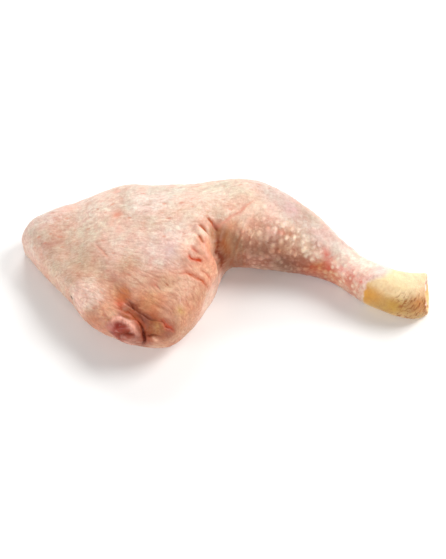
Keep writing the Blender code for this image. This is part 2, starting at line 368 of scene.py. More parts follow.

# Creases and ridges: how far each stands out, or in where it is below 0, how wide it is, its stain and how
# strong that is, and the line that it follows over the skin. A crease's lips are drawn together. The dark
# browns in the crook and in the folds over, behind and beside the roll are painted shade, the hollow of the
# roll is painted shade over red flesh, and the pale rims of the roll are partly painted highlight.
Crease = namedtuple("Crease", "height width colour strength line")
CREASES = {
    "shade over the roll": Crease(-0.3, 2.8, (142, 84, 68), 0.85, (
        (-52, -33, 27), (-48, -38, 27), (-44, -43, 27), (-41, -47, 27), (-39, -50, 24),
    )),
    "first line over the roll": Crease(-0.5, 0.7, (112, 46, 30), 0.85, (
        (-54, -33, 27), (-51, -36, 27), (-48, -39, 27), (-44, -45, 27), (-41, -49, 26),
    )),
    "above the roll": Crease(-0.8, 0.9, (128, 56, 32), 0.9, (
        (-55, -31, 27), (-50, -34, 28), (-48, -38, 28), (-45, -41, 28), (-40, -45, 28), (-36, -47, 28),
        (-33, -48, 28),
    )),
    "bloody end above the roll": Crease(-1, 0.9, BLOOD, 0.9, (
        (-36, -47, 28), (-32, -48, 28), (-30, -50, 26), (-28, -50, 25), (-25, -51, 22),
    )),
    "rim of the roll": Crease(1.4, 1.15, (236, 176, 156), 0.8, (
        (-61, -43, 21), (-59, -43, 22), (-56, -43, 24), (-52, -46, 25), (-49, -48, 24), (-46, -51, 23),
        (-44, -53, 20),
    )),
    "band over the roll": Crease(-0.8, 1.2, (186, 84, 44), 0.9, (
        (-59, -37, 25), (-54, -39, 26), (-49, -42, 26), (-46, -46, 26), (-43, -50, 25), (-41, -51, 22),
    )),
    "behind the roll": Crease(-1.6, 0.8, DEEP_RED_AND_SHADE, 0.9, (
        (-46, -46, 26), (-43, -50, 24), (-42, -52, 20), (-42, -53, 17), (-43, -53, 12),
    )),
    "hollow of the roll": Crease(-1.6, 1.3, (146, 66, 46), 0.9, (
        (-59, -47, 17), (-56, -50, 20), (-52, -51, 22), (-49, -52, 23), (-46, -52, 22),
    )),
    "lower rim of the roll": Crease(0.8, 1.1, (230, 184, 170), 0.6, (
        (-56, -50, 14), (-52, -53, 17), (-49, -53, 15), (-45, -53, 14),
    )),
    "beside the roll": Crease(-0.7, 0.6, DEEP_RED_AND_SHADE, 0.7, (
        (-41, -52, 20), (-39, -52, 21), (-36, -53, 23), (-32, -54, 22),
    )),
    "shade in the crook": Crease(0, 3.3, (140, 84, 52), 0.85, (
        (2, 11, 40), (1, 8, 39), (0, 5, 38), (-1, 2, 36), (-1, 1, 31), (0, 1, 26), (1, 1, 20), (1, 2, 14),
        (0, 1, 7),
    )),
    "crook": Crease(-0.5, 1.4, (126, 44, 0), 0.9, (
        (-3, 5, 38), (-3, 1, 38), (-3, -1, 36), (-4, -2, 33), (-4, -3, 31), (-2, -2, 26), (-1, 0, 21),
        (-1, 1, 14), (-1, 0, 8),
    )),
    "first crook crease": Crease(-0.75, 1, (180, 92, 52), 0.9, (
        (-10, 13, 43), (-8, 11, 41), (-6, 10, 39), (-4, 5, 38),
    )),
    "second crook crease": Crease(-0.7, 0.95, (180, 92, 52), 0.85, (
        (-14, 7, 43), (-12, 5, 43), (-10, 3, 42), (-7, 1, 39),
    )),
    "third crook crease": Crease(-0.6, 0.8, (190, 104, 66), 0.8, (
        (-15, 0, 43), (-13, -2, 43), (-12, -5, 43), (-10, -6, 42),
    )),
    "fourth crook crease": Crease(-0.5, 0.8, (224, 128, 104), 0.6, (
        (-18, -8, 42), (-16, -10, 42), (-13, -12, 42),
    )),
    "red crease": Crease(-0.8, 0.9, (222, 84, 46), 0.85, (
        (-20, -11, 40), (-18, -14, 40), (-15, -15, 39), (-13, -16, 39), (-11, -17, 38),
    )),
    "lower crease": Crease(-0.8, 0.9, (196, 98, 62), 0.8, (
        (-27, -22, 37), (-23, -23, 37), (-20, -22, 37), (-17, -23, 36), (-13, -24, 34), (-11, -24, 32),
        (-9, -24, 27), (-6, -19, 18),
    )),
    "side crease": Crease(-0.45, 0.7, (206, 110, 84), 0.6, (
        (-13, -19, 36), (-11, -20, 35), (-9, -20, 32), (-7, -20, 27),
    )),
    "short crease": Crease(-0.5, 0.7, ROSE, 0.5, ((-37, -29, 37), (-34, -32, 37))),
    "vein on the waist": Crease(-0.25, 0.8, (206, 130, 108), 0.5, (
        (-70, 1, 34), (-67, -3, 34), (-64, -6, 34), (-61, -10, 34),
    )),
    "vein on the hip": Crease(-0.15, 1.3, (184, 116, 100), 0.4, (
        (-101, 9, 24), (-97, 8, 25), (-93, 7, 26), (-89, 8, 27), (-85, 9, 28),
    )),
    "knee line": Crease(-0.25, 0.8, (214, 120, 100), 0.55, (
        (18, 27, 42), (14, 23, 42), (10, 19, 41), (7, 17, 40), (3, 14, 40), (0, 11, 40), (-4, 9, 38),
    )),
}
# How far the lines wander, over what distance, and how much of their width is left at their ends. A crease
# has low rims and drawn lips on both sides: how strong they are, and how many widths from its middle.
WANDER = 0.8
WANDER_SPREAD = 5
END_WIDTH = 0.6
RIM_HEIGHT = 0.35
RIM_PLACE = 2.1
LIPS_DRAWN = 0.2
LIPS_PLACE = 1.2
STAIN_AND_SHADE_WIDTH = 1.4

surface = bvhtree.BVHTree.FromPolygons(
    [Vector(point) for point in skin], [tuple(face.vertices) for face in skin_mesh.polygons]
)
wandering = skin + WANDER * uneven_shift(skin, WANDER_SPREAD)
for crease in CREASES.values():
    line = np.array([surface.find_nearest(Vector(point))[0] for point in smooth_line(crease.line, 3)])
    reach = 6 * crease.width + 2
    close_by = (skin > line.min(axis=0) - reach) & (skin < line.max(axis=0) + reach)
    near = np.flatnonzero(np.all(close_by, axis=1))
    distance, along, places = nearest_on_line(wandering[near], line)
    fading = smooth_step(np.minimum(along, 1 - along), -0.05, 0.3)
    widths_off = distance / crease.width / (END_WIDTH + (1 - END_WIDTH) * fading)
    shape = bell(widths_off)
    if crease.height < 0:
        shape -= RIM_HEIGHT * bell(widths_off - RIM_PLACE)
        lips = LIPS_DRAWN * crease.width * fading * bell(widths_off - LIPS_PLACE)
        drawn[near] += (lips / distance)[:, None] * (places - wandering[near])
    height[near] += crease.height * fading * shape
    add_stain_and_shade(near, crease.colour, crease.strength * fading * bell(widths_off / STAIN_AND_SHADE_WIDTH))

# Spots and small lumps: how far each stands out, how far it spreads, its stain and how strong that is, and
# where it is. The dark end and the dark side of the roll are painted shade in its hollow, over red flesh.
Mark = namedtuple("Mark", "height spread colour strength middle")
MARKS = {
    "blood above the roll": Mark(-0.3, 2.6, BLOOD, 0.65, (-55, -35, 27)),
    "lump in the roll": Mark(0.9, 2.4, (184, 112, 104), 0.7, (-60, -45, 20)),
    "dark end of the roll": Mark(-0.3, 1.6, (116, 40, 40), 0.65, (-59, -47, 17)),
    "dark side of the roll": Mark(-0.2, 1.5, (120, 50, 30), 0.6, (-45, -53, 21)),
    "fat below the roll": Mark(0.9, 1.6, (238, 190, 160), 0.7, (-36, -54, 20)),
    "hollow beside the roll": Mark(-0.3, 4, OLIVE, 0.5, (-35, -51, 26)),
    "vein on the thigh": Mark(0, 3, (216, 126, 96), 0.45, (-58, 18, 38)),
    "vein below it": Mark(0, 3, ROSE, 0.35, (-57, 7, 38)),
    "vein behind it": Mark(0, 2.4, ROSE, 0.35, (-61, 12, 38)),
    "bruise on the waist": Mark(0, 2.5, (196, 134, 108), 0.4, (-75, 33, 30)),
    "flush on the crest": Mark(0, 2.5, (232, 146, 126), 0.4, (-59, 38, 35)),
    "next flush on the crest": Mark(0, 3, (236, 166, 148), 0.35, (-45, 38, 37)),
    "flush on the hip": Mark(0, 5, (226, 158, 142), 0.35, (-88, 32, 27)),
    "flush at the tip": Mark(0, 2.5, (206, 140, 116), 0.3, (-102, 12, 24)),
    "low vein on the hip": Mark(0, 3, (212, 136, 118), 0.4, (-100, 3, 20)),
    "vein at the tip": Mark(-0.2, 0.8, DEEP_RED_AND_SHADE, 0.5, (-100, 9, 24)),
    "thin skin by the crook": Mark(0, 4.5, MAUVE, 0.4, (-28, -9, 40)),
    "vein on the slope": Mark(0, 3, ROSE, 0.4, (-37, -28, 34)),
    "fat on the slope": Mark(0, 3, (204, 164, 98), 0.45, (-23, -42, 29)),
    "spot on the bulge": Mark(-0.2, 1.3, (170, 104, 66), 0.5, (-18, -43, 23)),
    "flush above the crook": Mark(0.3, 2.4, (214, 128, 112), 0.5, (-4, 10, 38)),
    "thin skin on the drumstick": Mark(0, 5, (226, 180, 186), 0.4, (37, 24, 37)),
    "blood under the first pimples": Mark(0, 1.5, BLOOD, 0.35, (24, 10, 36)),
    "blood under the pimples": Mark(0, 1.7, BLOOD, 0.35, (31, 9, 34)),
    "blood under the calf's pimples": Mark(0, 2.4, (160, 84, 66), 0.45, (39, 4, 25)),
    "dark calf": Mark(0, 3, (146, 82, 64), 0.5, (44, 2, 18)),
    "pale calf": Mark(0.4, 2.6, (240, 212, 186), 0.35, (45, 4, 27)),
    "pale shin": Mark(0.4, 2.6, (246, 220, 200), 0.5, (50, 2, 24)),
    "red shin": Mark(-0.4, 2.2, (208, 92, 76), 0.5, (56, 0, 23)),
    "low red shin": Mark(-0.4, 2.2, (196, 88, 72), 0.5, (57, -1, 16)),
    "fat on the shin": Mark(0.5, 2.6, (246, 220, 194), 0.4, (61, -2, 22)),
    "pink shin": Mark(0, 3, (238, 160, 148), 0.45, (65, -5, 19)),
    "thin skin on the ankle": Mark(-0.2, 1.6, (206, 180, 192), 0.4, (84, -8, 24)),
    "dark spot behind the tail pad": Mark(-0.5, 1.3, (70, 34, 30), 0.85, (-82, -23, 17)),
}
for mark in MARKS.values():
    nearness = bell(np.linalg.norm(wandering - mark.middle, axis=1) / mark.spread)
    height += mark.height * nearness
    add_stain_and_shade(slice(None), mark.colour, mark.strength * nearness)

# Small shreds of fat and torn skin in the roll and round it, with dark flesh between them.
SHREDS_MIDDLE = (-51, -49, 20)
SHREDS_REACH = 7
SHRED_SIZE = (3.6, 2, 2)
SHRED_HEIGHT = 0.25
SHRED_PALE = (240, 192, 176)
SHRED_PALE_COVER = 0.35
SHRED_GAPS = (142, 58, 42)
SHRED_GAPS_COVER = 0.45
near_roll = bell(np.linalg.norm(skin - SHREDS_MIDDLE, axis=1) / SHREDS_REACH)
shreds = uneven(skin, SHRED_SIZE, 3.3)
height += SHRED_HEIGHT * near_roll * shreds
add_stain_and_shade(slice(None), SHRED_PALE, SHRED_PALE_COVER * near_roll * smooth_step(shreds, 0.05, 0.5))
add_stain_and_shade(slice(None), SHRED_GAPS, SHRED_GAPS_COVER * near_roll * smooth_step(-shreds, 0.1, 0.5))

# The drumstick's axis, from the knee to the cut.
DRUMSTICK_AXIS = (
    (8, 30, 21), (19, 27, 20), (30, 22.5, 19), (46, 16.5, 17), (61, 6, 15), (71.5, -2, 13), (80.5, -9, 12),
    (94.5, -15.5, 12), (109, -16, 11.5),
)
axis = smooth_line(DRUMSTICK_AXIS, 8)
steps = np.linalg.norm(np.diff(axis, axis=0), axis=1)
axis_length = np.concatenate(([0], np.cumsum(steps)))
_, along, centre = nearest_on_line(skin, axis)
along_places = along * (len(axis) - 1)
every_place = np.arange(len(axis))
down_leg = np.interp(along_places, every_place, axis_length)
runs = [np.interp(along_places, every_place, np.gradient(axis[:, i])) for i in range(2)]
direction = np.stack(runs, axis=1)
direction /= np.linalg.norm(direction, axis=1)[:, None]
offset = skin - centre
back_offset = offset[:, 1] * direction[:, 0] - offset[:, 0] * direction[:, 1]
# The angle round the axis: 0 on top, a quarter turn in front, and its seam underneath.
around = np.arctan2(-back_offset, offset[:, 2])
radius = np.hypot(back_offset, offset[:, 2])
straight = np.stack((down_leg, radius * np.sin(around), radius * np.cos(around)), axis=1)

# The drumstick's own skin begins past a line from the crook to the top of the knee, which waves.
KNEE_LINE = np.array((2, 14, 0))
KNEE_TOWARDS = np.array((0.66, -0.75, 0))
KNEE_WAVE = 3
KNEE_WAVE_SIZE = 9
past_knee = (skin - KNEE_LINE) @ KNEE_TOWARDS
waving = past_knee + KNEE_WAVE * uneven(skin, KNEE_WAVE_SIZE, 5.3)
drumstick = smooth_step(waving, -4, 10) * smooth_step(skin[:, 0], -6, 2)

# The yellow skin of the shank begins at a ragged edge, which the paler skin overlaps: the edge's waves are
# each a height, a size and a seed. High on the shank it begins later and fades in slowly.
SHANK_START = np.array((78.5, -14.4, 17))
SHANK_TOWARDS = np.array((0.62, -0.78, 0))
SHANK_WAVES = ((1.1, 3.5, 2.2), (0.6, 1.3, 8.1))
OVERLAP_HEIGHT = 0.45
OVERLAP_WIDTH = 6
FADES_ABOVE = 20.5
FADES_LATER = 1.3
FADES_OVER = 0.6
FADES_SLOWER = 0.6
above_shank = np.maximum(skin[:, 2] - FADES_ABOVE, 0)
shank = (skin - SHANK_START) @ SHANK_TOWARDS
for wave, size, seed in SHANK_WAVES:
    shank += wave * uneven(skin, size, seed)
shank -= FADES_LATER * above_shank
yellow = smooth_step(shank / (FADES_OVER + FADES_SLOWER * above_shank), -1, 1)
height += OVERLAP_HEIGHT * (0.5 - yellow) * bell(shank / OVERLAP_WIDTH)

# Pimples on the drumstick, where the feathers stood. They stand highest in front, lower underneath and
# hardly at all on top. Each is a little longer round the leg than along it, and the skin between them dips.
PIMPLE_SPACING = 3.4
PIMPLE_HEIGHT = 0.9
PIMPLE_WIDTH = 1.2
PIMPLE_HIGH = 1.4
PIMPLE_DIP = 0.2
LEFT_ON_TOP = 0.12
LOWER_UNDERNEATH = 0.6
rng = np.random.default_rng(7)


def scatter(where, spacing, tries=9000):
    """Points of the skin picked at random from some, at least this far apart."""
    picked = np.full((tries, 3), np.inf)
    chosen = []
    for i in rng.permutation(where)[:tries]:
        if np.min(np.sum((picked[:len(chosen) + 1] - skin[i]) ** 2, axis=1)) > spacing**2:
            picked[len(chosen)] = skin[i]
            chosen.append(i)
    return np.array(chosen)


def nearest_picked(where, picked):
    """The number of the picked point nearest to each of some points."""
    tree = kdtree.KDTree(len(picked))
    for number, i in enumerate(picked):
        tree.insert(Vector(skin[i]), number)
    tree.balance()
    return np.array([tree.find(Vector(skin[i]))[1] for i in where])


in_front = smooth_step(around, 0.15, 0.75)
behind = 0.5 * smooth_step(-around, 0.7, 1.5)
pimpled = smooth_step(past_knee, 3, 14) * smooth_step(shank, 0, -3)
pimpled *= LEFT_ON_TOP + (1 - LEFT_ON_TOP) * np.maximum(in_front, behind)
pimpled *= (0.8 + 0.4 * uneven(skin, 9, 3.9)) * smooth_step(skin[:, 0], 0, 8)
on_drumstick = np.flatnonzero(pimpled > 0.02)
picked = scatter(on_drumstick, PIMPLE_SPACING)
number = nearest_picked(on_drumstick, picked)
away = straight[on_drumstick] - straight[picked[number]]
away[:, 1:] /= PIMPLE_HIGH
sizes = rng.uniform(0.7, 1.15, len(picked))[number]
standing = rng.uniform(0.35, 1.15, len(picked))[number]
pimple = np.zeros(len(skin))
pimple[on_drumstick] = standing * bell(np.linalg.norm(away, axis=1) / sizes / PIMPLE_WIDTH)
lower = 1 - LOWER_UNDERNEATH * smooth_step(around, 1.3, 2.1)
height += PIMPLE_HEIGHT * pimpled * (pimple - PIMPLE_DIP) * lower

# Empty follicles on the thigh: small pits with a low rim, drawn out along the grain of the skin, which
# slants down over the lower thigh.
FOLLICLE_SPACING = 5.6
FOLLICLE_LENGTH = 1.9
FOLLICLE_DEPTH = 0.25
FOLLICLE_WIDTH = 0.75
FOLLICLE_RIM_HEIGHT = 0.08
FOLLICLE_RIM_WIDTH = 1.6
GRAIN_SLANT = 0.65
GRAIN_TURNS_AT = -30
GRAIN_WANDER = 2.2
GRAIN_WANDER_SPREAD = 9
slant = smooth_step(-skin[:, 1], -12, 25) * GRAIN_SLANT * (skin[:, 0] - GRAIN_TURNS_AT)
flow = skin + slant[:, None] * (0, 1, 0) + GRAIN_WANDER * uneven_shift(skin, GRAIN_WANDER_SPREAD)
on_thigh = np.flatnonzero((drumstick < 0.1) & (skin[:, 2] > 6))
picked = scatter(on_thigh, FOLLICLE_SPACING)
number = nearest_picked(on_thigh, picked)
away = flow[on_thigh] - flow[picked[number]]
away[:, 0] /= FOLLICLE_LENGTH
distance = np.linalg.norm(away, axis=1)
follicle = np.zeros(len(skin))
depths = rng.uniform(0.3, 1, len(picked))[number] ** 2
follicle[on_thigh] = depths * bell(distance / FOLLICLE_WIDTH)
height -= FOLLICLE_DEPTH * follicle
height[on_thigh] += FOLLICLE_RIM_HEIGHT * bell(distance / FOLLICLE_RIM_WIDTH)

# Fine creases along the grain of the lower thigh, and round the neck of the drumstick.
GRAIN_LINE_SIZE = (17, 2.6, 2.6)
GRAIN_LINE_DEPTH = 0.28
GRAIN_LINE_COVER = 0.22
NECK_LINE_SIZE = (1.8, 9, 9)
NECK_LINE_HEIGHT = 0.2
NECK_LINE_COVER = 0.35
low_thigh = smooth_step(-skin[:, 1], 8, 26) * (1 - drumstick)
grain_lines = bell(uneven(flow, GRAIN_LINE_SIZE, 12.1) / 0.09)
height -= GRAIN_LINE_DEPTH * low_thigh * grain_lines
add_stain_and_shade(slice(None), BROWN, GRAIN_LINE_COVER * low_thigh * grain_lines)
neck = bell((past_knee - 9) / 7) * smooth_step(around, 0.6, 1.1)
neck_lines = uneven(straight, NECK_LINE_SIZE, 5.5)
height += NECK_LINE_HEIGHT * neck * neck_lines
add_stain_and_shade(slice(None), BROWN, NECK_LINE_COVER * neck * smooth_step(neck_lines, 0, 0.4))

# Wrinkles across the shank, in the loose skin of its lower side. They lean towards the cut as they rise.
LEAN = 0.4
WRINKLE_SIZE = (1.5, 6, 6)
WRINKLE_DEPTH = 0.32
WRINKLE_RISE = 0.25
leaning = straight - LEAN * offset[:, 2:] * (1, 0, 0)
on_lower_side = smooth_step(np.sin(around) - 0.4 * np.cos(around), 0.1, 0.7)
wrinkled = smooth_step(shank, 1, 12) * (0.05 + 0.95 * on_lower_side)
wrinkled *= 0.25 + 0.75 * smooth_step(skin[:, 0], 89, 96)
wrinkle = bell(uneven(leaning, WRINKLE_SIZE, 4.4) / 0.16) * wrinkled
height -= WRINKLE_DEPTH * (wrinkle - WRINKLE_RISE * wrinkled)

# Broad swells and fine puckers everywhere, each a height, a size and a seed, and puckers along the grain.
SWELLS = ((0.35, 11, 1.7), (0.16, 4, 6.1), (0.06, 1.7, 2.9))
PUCKER_HEIGHT = 0.14
PUCKER_SIZE = (7, 2.4, 2.4)
height += sum(swell * uneven(skin, size, seed) for swell, size, seed in SWELLS)
height += (1 - drumstick) * PUCKER_HEIGHT * uneven(flow, PUCKER_SIZE, 3.3)

# Inside the rim of the cut the skin gives way to flesh round the joint, where the cut sinews stand out:
# the angle of each round the cut, and how far it spreads.
CUT_MIDDLE = np.array((109.3, -15, 11.5))
CUT_ACROSS = np.array((0.125, 1, 0))
CUT_UP = np.array((-0.17, 0, 1))
CUT_HALF_WIDTH = 10.1
CUT_HALF_HEIGHT = 11
SINEW_PLACE = 0.72
SINEW_HEIGHT = 0.8
SINEWS = ((118, 1.3), (75, 0.9), (-110, 1.4), (-150, 0.8))
FLESH_HEIGHT = 0.25
FLESH_GRAIN = 1.6
from_middle = skin - CUT_MIDDLE
cut_share = np.hypot(from_middle @ CUT_ACROSS / CUT_HALF_WIDTH, from_middle @ CUT_UP / CUT_HALF_HEIGHT)
cut_side = smooth_step(skin[:, 0], 103, 105)
flesh = smooth_step(cut_share, 0.86, 0.78) * cut_side
sinew = np.zeros(len(skin))
for degrees, spread in SINEWS:
    turn = math.radians(degrees)
    across = CUT_HALF_WIDTH * math.cos(turn) * CUT_ACROSS
    up = CUT_HALF_HEIGHT * math.sin(turn) * CUT_UP
    away = from_middle - SINEW_PLACE * (across + up)
    away[:, 0] *= 0.3
    sinew = np.maximum(sinew, bell(np.linalg.norm(away, axis=1) / spread) * cut_side)
height += SINEW_HEIGHT * sinew * flesh + FLESH_HEIGHT * flesh * uneven(skin, FLESH_GRAIN, 7.3)

# Where the leg lies on the table its skin stays pressed flat, up to the first height, and it is free of the
# table from the second.
FREE_HEIGHT = (0.4, 4)
free = smooth_step(skin[:, 2], *FREE_HEIGHT)
skin = skin + (skin_normals * height[:, None] + drawn) * free[:, None]
skin_mesh.vertices.foreach_set("co", (skin * MM).ravel())

# The colour of the skin in its different places, and how far each place reaches. The colours carry painted
# shade as well: darker and browner under and in front of the drumstick, calf and shin, in the crook, round
# the roll and on the lower slope of the thigh, with a little painted light in some pale places.
Tint = namedtuple("Tint", "colour reach middle")
TINTS_AND_SHADING = {
    "hip tip": Tint((220, 200, 185), 9, (-104, 11, 22)),
    "hip lobe": Tint((200, 170, 150), 9, (-91, 9, 27)),
    "low hip lobe": Tint((215, 190, 170), 9, (-90, -6, 22)),
    "upper waist": Tint((230, 215, 200), 11, (-75, 29, 31)),
    "waist": Tint((220, 205, 185), 9, (-74, 5, 32)),
    "low waist": Tint((205, 170, 145), 8, (-73, -9, 30)),
    "tail pad": Tint((230, 205, 190), 7, (-73, -28, 27)),
    "tail flap": Tint((185, 130, 100), 6, (-68, -40, 20)),
    "thigh crest": Tint((205, 195, 180), 13, (-41, 34, 38)),
    "thigh top": Tint((210, 185, 165), 11, (-32, 14, 42)),
    "thigh middle": Tint((225, 205, 190), 10, (-56, 0, 37)),
    "broad thigh": Tint((225, 200, 190), 9, (-39, -10, 38)),
    "thigh slope": Tint((210, 175, 150), 7, (-39, -25, 34)),
    "low slope": Tint((205, 145, 105), 6, (-39, -36, 31)),
    "low slope right": Tint((195, 150, 125), 6, (-26, -40, 31)),
    "bulge": Tint((205, 150, 120), 7, (-15, -34, 28)),
    "foot of the bulge": Tint((200, 150, 120), 7, (-23, -49, 18)),
    "under the long crease": Tint((150, 70, 30), 5, (-39, -49, 26)),
    "roll": Tint((150, 45, 30), 5, (-53, -50, 23)),
    "foot of the roll": Tint((160, 105, 85), 5, (-49, -53, 17)),
    "near the crook": Tint((240, 215, 195), 6, (-15, -7, 41)),
    "lip of the crook": Tint((230, 175, 145), 6, (-8, -16, 36)),
    "crook": Tint((165, 120, 85), 7, (3, 4, 27)),
    "knee top": Tint((210, 195, 175), 9, (2, 32, 42)),
    "knee": Tint((220, 190, 170), 8, (11, 22, 42)),
    "drumstick top": Tint((200, 180, 170), 9, (28, 37, 38)),
    "drumstick shoulder": Tint((185, 165, 150), 8, (42, 21, 35)),
    "middle of the drumstick": Tint((230, 200, 185), 8, (24, 10, 35)),
    "belly of the drumstick": Tint((235, 195, 165), 6, (39, 5, 28)),
    "under the drumstick": Tint((150, 115, 95), 7, (33, 3, 14)),
    "under the calf": Tint((180, 135, 120), 7, (53, 1, 8)),
    "top of the ankle": Tint((205, 185, 175), 7, (60, 8, 28)),
    "ankle": Tint((235, 225, 210), 6, (63, -3, 23)),
    "under the ankle": Tint((225, 205, 180), 6, (66, -8, 9)),
    "back of the hip": Tint((220, 185, 170), 16, (-92, 38, 10)),
    "back of the thigh": Tint((225, 190, 170), 18, (-40, 52, 16)),
    "back of the knee": Tint((230, 190, 175), 14, (14, 48, 16)),
    "back of the calf": Tint((220, 185, 170), 13, (52, 28, 12)),
    "under the hip": Tint((215, 175, 155), 16, (-88, 10, 0)),
    "under the thigh": Tint((215, 175, 155), 28, (-40, 5, 0)),
    "under the knee": Tint((215, 175, 155), 20, (20, 25, 0)),
    "neck of the drumstick": Tint((240, 200, 170), 6, (17, 9, 34)),
    "front of the drumstick": Tint((150, 105, 75), 6, (21, 5, 28)),
    "front of the calf": Tint((175, 115, 90), 6, (42, 2, 17)),
    "front of the shin": Tint((190, 115, 50), 6, (52, 0, 14)),
    "front of the ankle": Tint((210, 190, 170), 5, (72, -13, 7)),
    "fold beside the tail pad": Tint((200, 150, 120), 4, (-58, -28, 28)),
    "back of the fold": Tint((195, 160, 135), 4, (-64, -23, 29)),
    "top of the fold": Tint((190, 115, 60), 3.5, (-54, -30, 28)),
    "band over the roll": Tint((150, 95, 50), 3.5, (-48, -44, 26)),
    "behind the rim of the roll": Tint((70, 40, 20), 3, (-44, -48, 26)),
    "end of the long crease": Tint((140, 60, 40), 4, (-29, -51, 24)),
    "side of the bulge": Tint((230, 200, 180), 7, (-9, -24, 13)),
    "hollow of the crook": Tint((170, 120, 80), 4, (-2, 2, 37)),
    "low middle of the thigh": Tint((200, 160, 130), 6, (-49, -14, 35)),
    "over the lower crease": Tint((225, 190, 165), 5, (-20, -29, 34)),
    "back of the hip lobe": Tint((220, 205, 195), 7, (-99, 30, 25)),
    "front of the crest": Tint((210, 195, 185), 8, (-40, 22, 41)),
    "thigh by the crook": Tint((225, 205, 195), 7, (-29, 4, 42)),
    "middle of the waist": Tint((210, 160, 145), 6, (-67, -4, 34)),
    "past the knee": Tint((230, 200, 180), 6, (14, 16, 40)),
    "front of the belly": Tint((175, 115, 80), 4, (31, 4, 27)),
    "side of the calf": Tint((240, 235, 220), 5, (41, 7, 30)),
    "pale front of the calf": Tint((240, 235, 215), 4, (48, 2, 23)),
    "top of the calf": Tint((205, 185, 175), 6, (52, 10, 30)),
    "under the knee's front": Tint((150, 105, 75), 5, (6, 5, 12)),
    "low belly": Tint((200, 165, 145), 5, (28, 5, 6)),
    "low front of the shin": Tint((225, 190, 150), 5, (58, -2, 10)),
    "edge of the tail flap": Tint((210, 160, 140), 4, (-69, -45, 14)),
    "ridge by the crook": Tint((200, 115, 70), 4, (-10, -7, 41)),
    "skin over the shank": Tint((230, 210, 200), 6, (88, -14, 23)),
    "low lip of the crook": Tint((240, 185, 160), 2.5, (-5, -4, 26)),
    "beside the lower crease": Tint((235, 200, 170), 4, (-31, -28, 35)),
    "foot of the crook": Tint((240, 205, 190), 4, (-3, -3, 5)),
    "top of the shin": Tint((245, 215, 200), 4, (55, 3, 27)),
    "behind the crook": Tint((205, 145, 110), 3, (6, 10, 39)),
    "upper belly of the drumstick": Tint((250, 220, 200), 4.5, (34, 10, 34)),
    "left of the roll": Tint((230, 175, 145), 3.5, (-62, -38, 24)),
    "behind the hip lobe": Tint((185, 145, 125), 5, (-85, 24, 28)),
    "side of the ankle": Tint((240, 215, 200), 5, (74, -5, 22)),
}
# The shank's colours carry painted shade too: its edge, sides, front and heel are darker, over its own
# ochre.
SHANK_TINTS_AND_SHADING = {
    "top of the shank": Tint((240, 215, 170), 6, (86, -16, 23)),
    "top of the hock": Tint((230, 210, 170), 7, (102, -16, 23)),
    "edge of the shank": Tint((205, 145, 55), 5, (80, -20, 14)),
    "side of the shank": Tint((180, 145, 85), 5, (84, -22, 10)),
    "front of the hock": Tint((180, 135, 40), 6, (92, -26, 10)),
    "heel": Tint((180, 150, 100), 6, (100, -28, 11)),
    "side of the hock": Tint((195, 125, 55), 5, (105, -27, 15)),
    "rim of the cut": Tint((230, 190, 150), 4, (107, -21, 21)),
    "back of the shank": Tint((240, 210, 160), 8, (95, -4, 12)),
    "low heel": Tint((220, 200, 165), 4, (96, -26, 4)),
    "pale side of the hock": Tint((240, 215, 170), 4, (95, -21, 21.5)),
    "under the hock": Tint((230, 195, 135), 10, (95, -16, 0)),
}


def tinted_and_shaded(places):
    """The colour and painted shade at each point of the skin, blended from the places round it."""
    blend = np.zeros((len(skin), 4))
    for place in places.values():
        weight = bell(np.linalg.norm(skin - place.middle, axis=1) / place.reach) + 1e-12
        blend += weight[:, None] * np.append(srgb(*place.colour), 1)
    return blend / blend[:, 3:]


def keep(name, values, kind="FLOAT", what="value"):
    """Stores a value for each point of the skin, for its finish to read."""
    skin_mesh.attributes.new(name, kind, "POINT").data.foreach_set(what, np.asarray(values, float).ravel())


stain_and_shade[:, :3] /= np.maximum(stain_and_shade[:, 3:], 1e-6)
keep("tint_and_shading", tinted_and_shaded(TINTS_AND_SHADING), "FLOAT_COLOR", "color")
keep("shank_tint_and_shading", tinted_and_shaded(SHANK_TINTS_AND_SHADING), "FLOAT_COLOR", "color")
keep("stain_and_shade", stain_and_shade, "FLOAT_COLOR", "color")
keep("flow", flow, "FLOAT_VECTOR", "vector")
keep("leaning", leaning, "FLOAT_VECTOR", "vector")
keep("drumstick", drumstick)
keep("pimple", pimple)
keep("pimpled", pimpled)
keep("follicle", follicle)
keep("yellow", yellow)
keep("wrinkle", wrinkle)
keep("wrinkled", wrinkled)
keep("flesh", flesh)
keep("sinew", sinew)


# The colours that the finish lays over the tint and its painted shade. The first are the share of red,
# green and blue that each lets through, and the rest cover it.
PATCH_RED = (1.03, 0.93, 0.92)
PATCH_PALE = (0.98, 1.05, 1.04)
MOTTLE_DARK = (0.92, 0.83, 0.82)
MOTTLE_PALE = (1.07, 1.1, 1.11)
STREAK_DARK = (0.9, 0.8, 0.77)
STREAK_PALE = (1.07, 1.11, 1.11)
FLECK_DARK = (0.93, 0.88, 0.87)
FLECK_PALE = (1.05, 1.07, 1.06)
# The next two darken the gaps between the pimples: painted shade over thin brown and red skin.
THIN_SKIN_AND_SHADE = (0.56, 0.37, 0.3)
THIN_RED_SKIN_AND_SHADE = (0.8, 0.38, 0.34)
STRETCHED_SKIN = (1.08, 1.13, 1.08)
SCALE_EDGE = (0.86, 0.74, 0.55)
FOLLICLE_RED = srgb(204, 132, 108)
DASH_BROWN = srgb(150, 86, 34)
WRINKLE_BROWN = srgb(156, 92, 44)
FLESH_RED = srgb(196, 104, 92)
FLESH_PALE = srgb(236, 196, 182)
SINEW_WHITE = srgb(244, 232, 222)


